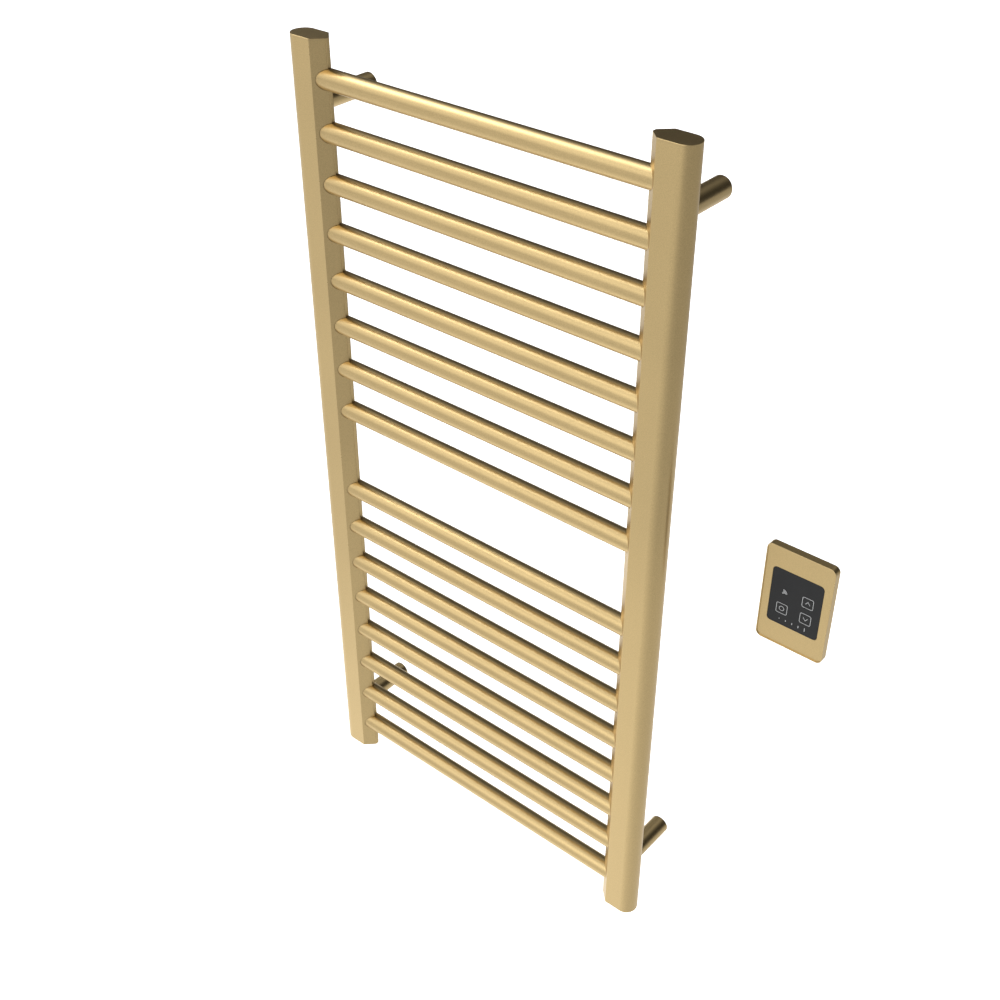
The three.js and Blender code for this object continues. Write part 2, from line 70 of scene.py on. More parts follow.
def loft(rings, close=False, cap_start=True, cap_end=True):
    """Quads between rings of the same length. close joins the last ring to the first."""
    n = len(rings[0])
    verts = [v for r in rings for v in r]
    faces = []
    pairs = list(range(len(rings) - 1)) + ([len(rings) - 1] if close else [])
    for a in pairs:
        b = (a + 1) % len(rings)
        for i in range(n):
            j = (i + 1) % n
            faces.append((a * n + i, a * n + j, b * n + j, b * n + i))
    if not close:
        if cap_start:
            faces.append(tuple(range(n))[::-1])
        if cap_end:
            faces.append(tuple((len(rings) - 1) * n + i for i in range(n)))
    return verts, faces


def shade(ob, angle=35.0, weighted=True):
    me = ob.data
    for p in me.polygons:
        p.use_smooth = True
    me.set_sharp_from_angle(angle=math.radians(angle))
    if weighted:
        m = ob.modifiers.new("normals", "WEIGHTED_NORMAL")
        m.mode = "FACE_AREA"
        m.weight = 50
        m.keep_sharp = True
        bake_modifiers(ob)
    return ob


def bake_modifiers(ob):
    deps = bpy.context.evaluated_depsgraph_get()
    me = bpy.data.meshes.new_from_object(ob.evaluated_get(deps), depsgraph=deps)
    ob.modifiers.clear()
    old = ob.data
    ob.data = me
    bpy.data.meshes.remove(old)
    me.name = ob.name
    return ob


def cut(ob, cutter):
    m = ob.modifiers.new("cut", "BOOLEAN")
    m.operation = "DIFFERENCE"
    m.solver = "EXACT"
    m.object = cutter
    bpy.context.view_layer.update()
    bake_modifiers(ob)
    me = cutter.data
    bpy.data.objects.remove(cutter)
    bpy.data.meshes.remove(me)
    return ob


def joined(name, parts):
    """One object from (verts, faces) lists."""
    verts, faces = [], []
    for v, f in parts:
        k = len(verts)
        verts += v
        faces += [tuple(i + k for i in face) for face in f]
    return new_object(name, verts, faces)


def cyl(axis, centre, r, a0, a1, n=48, turn=0.0):
    """A closed cylinder along an axis, from a0 to a1."""
    rings = []
    for a in (a0, a1):
        ring = []
        for i in range(n):
            t = 2 * math.pi * (i + turn) / n
            c, s = r * math.cos(t), r * math.sin(t)
            if axis == "X":
                ring.append((a, centre[0] + c, centre[1] + s))
            elif axis == "Y":
                ring.append((centre[0] + c, a, centre[1] + s))
            else:
                ring.append((centre[0] + c, centre[1] + s, a))
        rings.append(ring)
    return loft(rings)


def turned(name, profile, n, place):
    """A closed turned piece about Y from a closed (r, y) profile that keeps off the axis; place moves it."""
    rings = []
    for r, y in profile:
        rings.append([(place[0] + r * math.cos(2 * math.pi * i / n), place[1] + y, place[2] + r * math.sin(2 * math.pi * i / n)) for i in range(n)])
    verts, faces = loft(rings, close=True)
    return new_object(name, verts, faces), verts


def rounded_rect(w, h, r, y, per=8, cx=0.0, cz=0.0):
    out = []
    for ox, oz, a0 in ((w / 2 - r, h / 2 - r, 0), (-w / 2 + r, h / 2 - r, 90), (-w / 2 + r, -h / 2 + r, 180), (w / 2 - r, -h / 2 + r, 270)):
        for i in range(per + 1):
            a = math.radians(a0 + 90.0 * i / per)
            out.append((cx + ox + r * math.cos(a), y, cz + oz + r * math.sin(a)))
    return out


def flags(rings, ring_tags, point_tags=None):
    """One wear value for each vertex of lofted rings: the larger of its ring's and its place's."""
    n = len(rings[0])
    point_tags = point_tags or [0.0] * n
    return [max(rt, pt) for rt in ring_tags for pt in point_tags]


def set_wear(ob, places, values):
    """Gives each vertex the wear value of the built vertex at the same place, and none to those that a cut made."""
    tree = KDTree(len(places))
    for i, p in enumerate(places):
        tree.insert(Vector(p) * MM, i)
    tree.balance()
    out = []
    for v in ob.data.vertices:
        _, i, d = tree.find(v.co)
        out.append(values[i] if d < 0.00002 else 0.0)
    at = ob.data.attributes.get("wear") or ob.data.attributes.new("wear", "FLOAT", "POINT")
    at.data.foreach_set("value", out)


# ------------------------------------------------------------------ materials
def nodes_of(name):
    m = bpy.data.materials.new(name)
    m.use_nodes = True
    nt = m.node_tree
    bsdf = nt.nodes["Principled BSDF"]
    return m, nt, bsdf


def link(nt, a, b):
    nt.links.new(a, b)


def noise(nt, coord, scale, detail=2.0, rough=0.5, stretch=None):
    src = coord
    if stretch:
        mp = nt.nodes.new("ShaderNodeMapping")
        mp.inputs["Scale"].default_value = stretch
        link(nt, coord, mp.inputs["Vector"])
        src = mp.outputs["Vector"]
    n = nt.nodes.new("ShaderNodeTexNoise")
    n.inputs["Scale"].default_value = scale
    n.inputs["Detail"].default_value = detail
    n.inputs["Roughness"].default_value = rough
    link(nt, src, n.inputs["Vector"])
    return n.outputs["Fac"]


def ranged(nt, value, lo, hi, a=0.3, b=0.7):
    n = nt.nodes.new("ShaderNodeMapRange")
    n.inputs["From Min"].default_value = a
    n.inputs["From Max"].default_value = b
    n.inputs["To Min"].default_value = lo
    n.inputs["To Max"].default_value = hi
    link(nt, value, n.inputs["Value"])
    return n.outputs["Result"]


def math_node(nt, op, a, b):
    n = nt.nodes.new("ShaderNodeMath")
    n.operation = op
    for k, v in enumerate((a, b)):
        if isinstance(v, (int, float)):
            n.inputs[k].default_value = v
        else:
            link(nt, v, n.inputs[k])
    return n.outputs[0]


def mixed(nt, fac, a, b):
    n = nt.nodes.new("ShaderNodeMix")
    n.data_type = "RGBA"
    n.blend_type = "MIX"
    if isinstance(fac, (int, float)):
        n.inputs["Factor"].default_value = fac
    else:
        link(nt, fac, n.inputs["Factor"])
    for key, v in ((6, a), (7, b)):
        if isinstance(v, tuple):
            n.inputs[key].default_value = (*v, 1.0)
        else:
            link(nt, v, n.inputs[key])
    return n.outputs[2]


def bump(nt, bsdf, height, strength, distance):
    b = nt.nodes.new("ShaderNodeBump")
    b.inputs["Strength"].default_value = strength
    b.inputs["Distance"].default_value = distance
    link(nt, height, b.inputs["Height"])
    link(nt, b.outputs["Normal"], bsdf.inputs["Normal"])


def coords(nt):
    return nt.nodes.new("ShaderNodeTexCoord").outputs["Object"]


GOLD = (0.62, 0.463, 0.225)


def satin_gold(name, base=GOLD, rough=0.34, grain=1050.0, wear=True):
    """Fine satin metal coating: even sandy grain, faint cloudiness, edges rubbed a little brighter and smoother."""
    m, nt, bsdf = nodes_of(name)
    co = coords(nt)
    fine = noise(nt, co, grain, 2.0, 0.55)
    mid = noise(nt, co, grain * 0.3, 3.0, 0.5)
    cloud = noise(nt, co, 9.0, 2.0, 0.5)
    dark = tuple(c * 0.975 for c in base)
    light = tuple(min(1.0, c * 1.025) for c in base)
    col = mixed(nt, ranged(nt, cloud, 0.0, 1.0), dark, light)
    speck = ranged(nt, fine, 0.91, 1.09, 0.3, 0.7)
    tint = nt.nodes.new("ShaderNodeHueSaturation")
    link(nt, col, tint.inputs["Color"])
    link(nt, speck, tint.inputs["Value"])
    col = tint.outputs["Color"]
    r = math_node(nt, "ADD", ranged(nt, mid, rough - 0.02, rough + 0.02), ranged(nt, cloud, -0.012, 0.012))
    if wear:
        at = nt.nodes.new("ShaderNodeAttribute")
        at.attribute_name = "wear"
        rub = math_node(nt, "MULTIPLY", at.outputs["Fac"], ranged(nt, noise(nt, co, 90.0, 3.0, 0.6), 0.0, 1.0, 0.4, 0.6))
        col = mixed(nt, math_node(nt, "MULTIPLY", rub, 0.3), col, tuple(min(1.0, c * 1.15 + 0.02) for c in base))
        r = math_node(nt, "SUBTRACT", r, math_node(nt, "MULTIPLY", rub, 0.06))
    link(nt, col, bsdf.inputs["Base Color"])
    link(nt, r, bsdf.inputs["Roughness"])
    bsdf.inputs["Metallic"].default_value = 1.0
    height = math_node(nt, "ADD", fine, math_node(nt, "MULTIPLY", mid, 0.6))
    bump(nt, bsdf, height, 0.15, 0.00004)
    return m


def plain_metal(name, base, rough, scale=500.0, streak=None):
    m, nt, bsdf = nodes_of(name)
    co = coords(nt)
    fine = noise(nt, co, scale, 3.0, 0.6, streak)
    cloud = noise(nt, co, 60.0, 2.0, 0.5)
    link(nt, mixed(nt, ranged(nt, cloud, 0.0, 1.0), tuple(c * 0.86 for c in base), tuple(min(1, c * 1.08) for c in base)), bsdf.inputs["Base Color"])
    link(nt, ranged(nt, fine, rough - 0.08, rough + 0.08), bsdf.inputs["Roughness"])
    bsdf.inputs["Metallic"].default_value = 1.0
    bump(nt, bsdf, fine, 0.25, 0.00004)
    return m


def dull(name, base, rough, scale=700.0, vary=0.18, depth=0.00005):
    m, nt, bsdf = nodes_of(name)
    co = coords(nt)
    fine = noise(nt, co, scale, 3.0, 0.6)
    cloud = noise(nt, co, 90.0, 2.0, 0.5)
    link(nt, mixed(nt, ranged(nt, cloud, 0.0, 1.0), tuple(c * (1 - vary) for c in base), tuple(min(1, c * (1 + vary)) for c in base)), bsdf.inputs["Base Color"])
    link(nt, ranged(nt, fine, rough - 0.07, min(1.0, rough + 0.07)), bsdf.inputs["Roughness"])
    bump(nt, bsdf, fine, 0.3, depth)
    return m


def board_green(name):
    """Solder mask over a copper ground grid."""
    m, nt, bsdf = nodes_of(name)
    co = coords(nt)
    br = nt.nodes.new("ShaderNodeTexBrick")
    br.inputs["Scale"].default_value = 220.0
    br.inputs["Mortar Size"].default_value = 0.03
    br.inputs["Color1"].default_value = (0.02, 0.16, 0.07, 1)
    br.inputs["Color2"].default_value = (0.025, 0.19, 0.08, 1)
    br.inputs["Mortar"].default_value = (0.06, 0.26, 0.10, 1)
    link(nt, co, br.inputs["Vector"])
    link(nt, br.outputs["Color"], bsdf.inputs["Base Color"])
    fine = noise(nt, co, 800.0)
    link(nt, ranged(nt, fine, 0.35, 0.5), bsdf.inputs["Roughness"])
    bump(nt, bsdf, br.outputs["Fac"], 0.3, 0.00005)
    return m


def touch_glass_material(name):
    """Back-painted dark glass with an etched satin face and the faint smears that fingers leave."""
    m, nt, bsdf = nodes_of(name)
    co = coords(nt)
    smear = noise(nt, co, 55.0, 4.0, 0.65, (1.0, 1.0, 0.45))
    fine = noise(nt, co, 2200.0, 1.0, 0.5)
    link(nt, mixed(nt, ranged(nt, smear, 0.0, 1.0), (0.031, 0.0315, 0.0325), (0.035, 0.0355, 0.0365)), bsdf.inputs["Base Color"])
    link(nt, math_node(nt, "ADD", ranged(nt, smear, 0.34, 0.46), ranged(nt, fine, -0.02, 0.02)), bsdf.inputs["Roughness"])
    bsdf.inputs["IOR"].default_value = 1.5
    bsdf.inputs["Specular IOR Level"].default_value = 0.12
    bump(nt, bsdf, fine, 0.05, 0.00002)
    return m


def print_ink(name):
    m, nt, bsdf = nodes_of(name)
    co = coords(nt)
    fine = noise(nt, co, 1500.0, 2.0, 0.6)
    link(nt, mixed(nt, ranged(nt, fine, 0.0, 1.0), (0.52, 0.53, 0.54), (0.64, 0.65, 0.66)), bsdf.inputs["Base Color"])
    link(nt, ranged(nt, fine, 0.5, 0.7), bsdf.inputs["Roughness"])
    return m


M = {
    "gold": satin_gold("satin_gold"),
    "gold_plate": satin_gold("satin_gold_plate", grain=1800.0),
    "zinc": plain_metal("zinc_plate", (0.60, 0.61, 0.60), 0.42, 400.0),
    "steel": plain_metal("machined_steel", (0.62, 0.62, 0.63), 0.30, 600.0, (1.0, 6.0, 1.0)),
    "can": plain_metal("pressed_can", (0.68, 0.68, 0.68), 0.28, 500.0),
    "rubber": dull("black_rubber", (0.022, 0.022, 0.023), 0.78),
    "foam": dull("black_foam", (0.03, 0.03, 0.031), 0.95, 1500.0, 0.3, 0.0002),
    "silicone": dull("red_silicone", (0.38, 0.055, 0.035), 0.55),
    "sheath": dull("black_sheath", (0.028, 0.028, 0.03), 0.5),
    "earth": dull("green_insulation", (0.12, 0.34, 0.05), 0.5),
    "acrylic": dull("milky_acrylic", (0.82, 0.83, 0.82), 0.35, 300.0, 0.05),
    "board": board_green("solder_mask"),
    "chip": dull("moulded_epoxy", (0.018, 0.018, 0.019), 0.6, 1200.0),
    "glass": touch_glass_material("dark_touch_glass"),
    "ink": print_ink("key_print"),
}


def dress(ob, key):
    ob.data.materials.clear()
    ob.data.materials.append(M[key])
    return ob


def finish_piece(ob, body, slot, key, *nodes):
    dress(ob, key)
    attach(ob, body)
    if nodes:
        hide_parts(*nodes)
    return ob


# ------------------------------------------------------------------ uprights and caps
def corner_arc(prev, p, nxt, r, n=4):
    """Points that round the corner p with a radius r."""
    a = (Vector(prev) - Vector(p)).normalized()
    b = (Vector(nxt) - Vector(p)).normalized()
    half = a.angle(b) / 2
    d = r / math.tan(half)
    bis = (a + b).normalized()
    c = Vector(p) + bis * (r / math.sin(half))
    s = Vector(p) + a * d - c
    e = Vector(p) + b * d - c
    out = []
    turn = s.angle_signed(e)
    for i in range(n + 1):
        q = s.copy()
        q.rotate(Matrix.Rotation(-turn * i / n, 2))
        out.append(tuple(c + q))
    return out


def section(inset, side, grooved=False, round_r=0.55, arc=44):
    """The upright's section, inset by a distance: (x, y) points for side -1 or 1, and how worn each is."""
    r = HALF_D - inset
    cx = INNER_X + FLAT_END
    slope = math.atan2(HALF_D - NOSE, CHAMFER)
    push = inset / math.sin(slope)
    chamfer_x = lambda y: INNER_X + (y - NOSE) / math.tan(slope) + push
    nose_x = INNER_X + inset
    nose_y = NOSE + (nose_x - INNER_X - push) * math.tan(slope)
    k = [(nose_x, nose_y), (nose_x, -nose_y), (chamfer_x(r), -r), (cx, -r), (cx, r), (chamfer_x(r), r)]
    rr = max(0.12, round_r - inset)
    pts, tags = [], []

    def corner(p, q, t):
        """A rounded corner with a point 0.9 mm away on each side, so wear stays on the edge itself."""
        ring = corner_arc(p, q, t, rr)
        for way, end in ((Vector(p), ring[0]), (Vector(t), ring[-1])):
            e = Vector(end)
            step = (way - Vector(q)).normalized() * min(0.9, (way - e).length * 0.3)
            (ring.insert(0, tuple(e + step)) if end is ring[0] else ring.append(tuple(e + step)))
        pts.extend(ring)
        tags.extend([0.0] + [1.0] * (len(ring) - 2) + [0.0])

    def groove(p, q, t, w=0.45, depth=0.7):
        """A hairline groove along the nose's edge, in place of the rounded corner on the outside."""
        if inset or not grooved:
            return corner(p, q, t)
        q = Vector(q)
        a, b, inward = (Vector(p) - q).normalized(), (Vector(t) - q).normalized(), Vector((depth, 0))
        line = [q + a * 1.0, q + a * w, q + a * w * 0.4 + inward * 0.6, q + inward, q + b * w * 0.4 + inward * 0.6, q + b * w, q + b * 1.0]
        pts.extend(tuple(v) for v in line)
        tags.extend([0.0, 0.6, 0.0, 0.0, 0.0, 0.6, 0.0])

    groove(k[5], k[0], k[1])
    groove(k[0], k[1], k[2])
    corner(k[1], k[2], k[3])
    for i in range(arc + 1):
        a = -math.pi / 2 + math.pi * i / arc
        pts.append((cx + r * math.cos(a), r * math.sin(a)))
        tags.append(0.0)
    corner(k[4], k[5], k[0])
    return [(side * x, AXIS_Y + y) for x, y in pts], tags


def ring_at(inset, side, z, grooved=False):
    return [(x, y, z) for x, y in section(inset, side, grooved)[0]]


SEAM = 0.06
HOLE_GAP = 0.32
for side, s in (("left", -1), ("right", 1)):
    z0, z1 = CAP_T + 0.3, H - CAP_T - 0.3
    rings = [ring_at(0, s, z, True) for z in (z0, z0 + 1.0, z1 - 1.0, z1)] + [ring_at(WALL, s, z1), ring_at(WALL, s, z0)]
    built, faces = loft(rings, close=True)
    wear = flags(rings, (0.5, 0, 0, 0.5, 0, 0), section(0, s, True)[1])
    up = new_object(f"upright_{side}_body", built, faces)
    x0, x1 = (INNER_X - 4, 222.0) if s > 0 else (-222.0, -INNER_X + 4)
    cutters = [cyl("X", (AXIS_Y, z), BAR_R + HOLE_GAP, x0, x1, 72) for z in BAR_Z]
    if s > 0:
        cutters.append(cyl("Y", (SO_X, SO_Z["bottom"]), 9.0, AXIS_Y + 8, AXIS_Y + 20, 48))
    cut(up, joined("bar_holes", cutters))
    set_wear(up, built, wear)
    shade(up, 32)
    finish_piece(up, "rack", "gold_metal", "gold", f"upright_{side}")

    for end in ("top", "bottom"):
        edge = 0.5
        steps = 6
        prof = [(WALL + 0.3 + 1.6, CAP_T), (WALL + 0.3 + 1.6, CAP_T + 10), (WALL + 0.3, CAP_T + 10), (WALL + 0.3, CAP_T + 0.3 - SEAM), (0.0, CAP_T + 0.3 - SEAM)]
        tags = [0, 0, 0, 0, 0.3]
        for i in range(steps + 1):
            a = math.pi / 2 * i / steps
            prof.append((edge - edge * math.cos(a), edge - edge * math.sin(a)))
            tags.append(1.0)
        prof.append((edge + 0.9, 0.0))
        tags.append(0)
        rings = []
        for inset, depth in prof:
            z = H - depth if end == "top" else depth
            rings.append(ring_at(inset, s, z))
        # the inside of the plate, then the skirt, the plate's rim, the rounded edge and the outside face
        built, faces = loft(rings)
        cap = new_object(f"cap_{end}_{side}", built, faces)
        set_wear(cap, built, flags(rings, tags))
        shade(cap, 32)
        finish_piece(cap, "rack", "gold_metal", "gold", f"end_cap_{end}_{side}")

# ------------------------------------------------------------------ bars
for i, z in enumerate(BAR_Z):
    n = 96
    prof = [(BAR_R, -BAR_END + 0.3), (BAR_R, -BAR_END + 2), (BAR_R, BAR_END - 2), (BAR_R, BAR_END - 0.3), (BAR_R - 0.3, BAR_END), (BAR_BORE, BAR_END), (BAR_BORE, -BAR_END), (BAR_R - 0.3, -BAR_END)]
    rings = [[(x, AXIS_Y + r * math.cos(2 * math.pi * k / n), z + r * math.sin(2 * math.pi * k / n)) for k in range(n)] for r, x in prof]
    built, faces = loft(rings, close=True)
    bar = new_object(f"tube_{i + 1:02d}", built, faces)
    set_wear(bar, built, flags(rings, (1, 0, 0, 1, 1, 1, 1, 1)))
    shade(bar, 30)
    finish_piece(bar, "rack", "gold_metal", "gold", f"bar_{i + 1:02d}")

# ------------------------------------------------------------------ standoffs, spigots, grub screws
for end, z in SO_Z.items():
    for side, s in (("left", -1), ("right", 1)):
        x = s * SO_X
        entry = end == "bottom" and side == "right"
        y0, y1 = AXIS_Y + HALF_D + 0.02, -0.3
        e = 0.45
        prof = [(SO_BORE, y0), (SO_R, y0), (SO_R, y0 + 1.5), (SO_R, y1 - e - 1.2)]
        prof += [(SO_R - e + e * math.cos(a), y1 - e + e * math.sin(a)) for a in (math.pi / 2 * k / 5 for k in range(6))]
        prof += [(SO_BORE + 0.25, y1), (SO_BORE, y1 - 0.25)]
        so, built = turned(f"sleeve_{end}_{side}", prof, 72, (x, 0, z))
        cut(so, joined("grub_hole", [cyl("Z", (x, -15.0), 2.7, z - 14, z - 6, 32)]))
        set_wear(so, built, [v for tag in [0.6, 0.6, 0, 0] + [1.0] * (len(prof) - 4) for v in [tag] * 72])
        shade(so, 30)
        finish_piece(so, "rack", "gold_metal", "gold", f"standoff_{end}_{side}")

        bore = 6.0 if entry else 2.75
        prof = [(bore + 0.3, 0.0), (SPIGOT_R - 0.25, 0.0), (SPIGOT_R, -0.25), (SPIGOT_R, -SPIGOT_L + 1.0), (SPIGOT_R - 1.0, -SPIGOT_L)]
        prof += [(bore + 0.5, -SPIGOT_L), (bore, -SPIGOT_L + 0.5)] if entry else [(5.5, -SPIGOT_L), (bore, -SPIGOT_L + 3.0)]
        prof += [(bore, -0.3)]
        sp, _ = turned(f"spigot_{end}_{side}", prof, 60, (x, 0, z))
        flat = [(x - 12, -31, z - 14), (x + 12, -31, z - 14), (x + 12, -4, z - 14), (x - 12, -4, z - 14)]
        top = [(a, b, z - SPIGOT_FLAT) for a, b, _ in flat]
        cut(sp, joined("flat", [loft([flat, top])]))
        shade(sp, 30)
        finish_piece(sp, "wall_mount", "zinc_steel", "zinc", f"wall_spigot_{end}_{side}")

        g0 = z - SO_R + 0.35
        rings = [[(x + r * math.cos(2 * math.pi * k / 36), -15 + r * math.sin(2 * math.pi * k / 36), zz) for k in range(36)] for r, zz in ((2.1, g0), (2.4, g0 + 0.3), (2.4, g0 + 3.4), (2.0, g0 + 3.8))]
        gs = new_object(f"set_screw_{end}_{side}", *loft(rings))
        cut(gs, joined("hex", [cyl("Z", (x, -15.0), 1.45, g0 - 1, g0 + 2.0, 6)]))
        shade(gs, 30)
        finish_piece(gs, "rack", "screw_steel", "steel", f"grub_screw_{end}_{side}")

# ------------------------------------------------------------------ wall controller
P = 10


def rr(w, h, r, y):
    return rounded_rect(w, h, max(r, 0.05), y, P, CX, CZ)


RIM, RECESS = 1.1, 1.0
front, face_y = -CT, -CT + RECESS
e = 0.28


def rim_ring(run, y):
    return rr(CW - 2 * run, CH - 2 * run, CR - run, y)


rings = [rr(CW - 0.5, CH - 0.5, CR - 0.25, -0.3), rr(CW, CH, CR, -0.55), rr(CW, CH, CR, -1.4), rr(CW, CH, CR, front + e + 0.9)]
tags = [0.6, 0.6, 0, 0]
# the rim: rounded outer edge, a narrow flat, rounded inner edge, then down into the recess with a small fillet
for i in range(5):
    a = math.pi / 2 * i / 4
    rings.append(rim_ring(e - e * math.cos(a), front + e - e * math.sin(a)))
    tags.append(1.0)
for i in range(5):
    a = math.pi / 2 * i / 4
    rings.append(rim_ring(RIM - 0.2 + 0.2 * math.sin(a), front + 0.2 - 0.2 * math.cos(a)))
    tags.append(0.8)
for i in range(5):
    a = math.pi / 2 * i / 4
    rings.append(rim_ring(RIM + 0.2 - 0.2 * math.cos(a), face_y - 0.2 + 0.2 * math.sin(a)))
    tags.append(0.0)
g = 0.22
rings += [rim_ring(RIM + 1.2, face_y), rr(GW + 2 * g + 2.0, GH + 2 * g + 2.0, GR + g + 1.0, face_y)]
rings += [rr(GW + 2 * g + 0.3, GH + 2 * g + 0.3, GR + g + 0.15, face_y), rr(GW + 2 * g, GH + 2 * g, GR + g, face_y + 0.15)]
rings += [rr(GW + 2 * g, GH + 2 * g, GR + g, face_y + 1.6), rr(CW - 4, CH - 4, CR - 2, face_y + 1.6), rr(CW - 4, CH - 4, CR - 2, -0.3)]
tags += [0, 0, 0.8, 0.8, 0, 0, 0]
built, faces = loft(rings, close=True)
face = new_object("faceplate", built, faces)
cut(face, joined("lock_hole", [cyl("Z", (CX, -3.3), 1.75, CZ - CH / 2 - 2, CZ - CH / 2 + 4, 28)]))
set_wear(face, built, flags(rings, tags))
shade(face, 25)
finish_piece(face, "wall_mount", "gold_metal", "gold_plate", "controller_faceplate")

gy = face_y + 0.05
rings = [rr(GW, GH, GR, face_y + 1.6), rr(GW, GH, GR, gy + 0.2)]
rings += [rr(GW - 0.12, GH - 0.12, GR - 0.06, gy + 0.06), rr(GW - 0.4, GH - 0.4, GR - 0.2, gy)]
glass = new_object("touch_panel", *loft(rings))
shade(glass, 25)
finish_piece(glass, "wall_mount", "touch_glass", "glass", "touch_glass")

# back plate with its slots, lug and drilled tab
iw, ih = CW - 4 - 0.6, CH - 4 - 0.6
rings = [rr(iw, ih, CR - 2, -1.2), rr(iw, ih, CR - 2, -0.15), rr(iw - 0.3, ih - 0.3, CR - 2.15, 0.0)]
back = new_object("back_plate", *loft(rings))
slots = []
for sz in (41.65, -41.65):
    slots.append(loft([rounded_rect(4.4, 10, 2.19, y, 8, CX, CZ + sz) for y in (-3, 2)]))
cut(back, joined("slots", slots))


def slab(x0, x1, y0, y1, z0, z1):
    return loft([[(x0, y0, z0), (x1, y0, z0), (x1, y1, z0), (x0, y1, z0)], [(x0, y0, z1), (x1, y0, z1), (x1, y1, z1), (x0, y1, z1)]])


half = ih / 2
tabs = joined("back_plate_tabs", [slab(CX - 9, CX + 9, -5.0, -1.21, CZ + half - 1.5, CZ + half), slab(CX - 7, CX + 7, -5.4, -1.21, CZ - half, CZ - half + 1.5)])
cut(tabs, joined("tab_hole", [cyl("Z", (CX, -3.3), 1.75, CZ - CH / 2 - 1, CZ - CH / 2 + 8, 28)]))
shade(back, 30)
shade(tabs, 30)
finish_piece(tabs, "wall_mount", "zinc_steel", "zinc")
finish_piece(back, "wall_mount", "zinc_steel", "zinc", "controller_back_plate")

lz = CZ - CH / 2 + 0.4
rings = [[(CX + r * math.cos(2 * math.pi * k / 32), -3.3 + r * math.sin(2 * math.pi * k / 32), zz) for k in range(32)] for r, zz in ((1.25, lz), (1.45, lz + 0.2), (1.45, lz + 4.3), (1.2, lz + 4.6))]
ls = new_object("lock_screw", *loft(rings))
cut(ls, joined("hex", [cyl("Z", (CX, -3.3), 0.8, lz - 1, lz + 1.6, 6)]))
shade(ls, 30)
finish_piece(ls, "wall_mount", "screw_steel", "steel", "faceplate_lock_screw")


# key marks: thin printed shapes on the face of the glass
INK0, INK1 = gy - 0.006, gy - 0.034


def band(path, width, closed):
    """A flat strip of that width along (x, z) points, as a thin solid."""
    n = len(path)
    left, right = [], []
    for i, p in enumerate(path):
        a = Vector(path[(i - 1) % n]) if (closed or i > 0) else None
        b = Vector(path[(i + 1) % n]) if (closed or i < n - 1) else None
        q = Vector(p)
        d0 = (q - a).normalized() if a is not None else None
        d1 = (b - q).normalized() if b is not None else None
        if d0 is None:
            d0 = d1
        if d1 is None:
            d1 = d0
        n0, n1 = Vector((-d0.y, d0.x)), Vector((-d1.y, d1.x))
        m = (n0 + n1).normalized()
        w = width / 2 / max(0.35, m.dot(n0))
        left.append(q + m * w)
        right.append(q - m * w)
    sections = []
    for l, r in zip(left, right):
        sections.append([(CX + l.x, INK0, CZ + l.y), (CX + r.x, INK0, CZ + r.y), (CX + r.x, INK1, CZ + r.y), (CX + l.x, INK1, CZ + l.y)])
    return loft(sections, close=closed)


def square_path(cx, cz, size, r, per=5):
    return [(x, z) for x, _, z in rounded_rect(size, size, r, 0, per, cx, cz)]


def circle_path(cx, cz, r, n=36, a0=0.0, a1=360.0):
    full = abs(a1 - a0) >= 360
    m = n if full else n + 1
    return [(cx + r * math.cos(math.radians(a0 + (a1 - a0) * i / n)), cz + r * math.sin(math.radians(a0 + (a1 - a0) * i / n))) for i in range(m)]


def disc(cx, cz, r, n=20):
    return loft([[(CX + cx + r * math.cos(2 * math.pi * i / n), y, CZ + cz + r * math.sin(2 * math.pi * i / n)) for i in range(n)] for y in (INK0, INK1)])


LINE = 0.6
KEYS = {
    "key_power": [band(square_path(-14.0, -14.3, 12.6, 1.7), LINE, True), band(circle_path(-14.1, -14.3, 2.75), LINE, True)],
    "key_up": [band(square_path(14.0, 6.8, 12.6, 1.7), LINE, True), band([(11.5, 5.2), (14.1, 8.5), (16.7, 5.2)], LINE, False)],
    "key_down": [band(square_path(13.9, -14.3, 12.6, 1.7), LINE, True), band([(11.4, -12.7), (14.0, -16.0), (16.6, -12.7)], LINE, False)],
    "link_symbol": [disc(-15.2, 5.9, 0.75)] + [band(circle_path(-15.4, 5.7, r, 14, 4, 86), 0.7, False) for r in (2.1, 3.5, 4.9)],
    "level_marks": [band([(x, -28.0 - h / 2), (x, -28.0 + h / 2)], 0.85, False) for x, h in zip((-15.2, -7.6, 0.0, 7.4, 14.9), (1.2, 1.8, 2.4, 3.2, 4.4))],
}
for name, parts in KEYS.items():
    ob = joined(name, parts)
    finish_piece(ob, "wall_mount", "touch_glass", "ink")

# ------------------------------------------------------------------ nodes kept as the CAD made them
KEEP = {
    "cable_gland": "rubber", "thermal_limiter": "rubber", "cable_end_seal": "rubber", "heating_cable": "silicone", "cold_lead": "sheath",
    "earth_wire": "earth", "earth_stud": "steel", "earth_nut": "steel", "earth_ring_terminal": "zinc", "glass_gasket": "foam",
    "light_guide": "acrylic", "control_board": "board", "control_chip": "chip", "radio_module": "can", "coin_cell": "can",
    "battery_clip": "zinc", "board_screw_1": "steel", "board_screw_2": "steel", "board_screw_3": "steel", "board_screw_4": "steel",
}
ROUND = {"cable_gland", "thermal_limiter", "cable_end_seal", "heating_cable", "cold_lead", "earth_wire"}
for name, key in KEEP.items():
    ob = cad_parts[name]
    dress(ob, key)
    for p in ob.data.polygons:
        p.use_smooth = name in ROUND
    if name in ROUND:
        ob.data.set_sharp_from_angle(angle=math.radians(50))

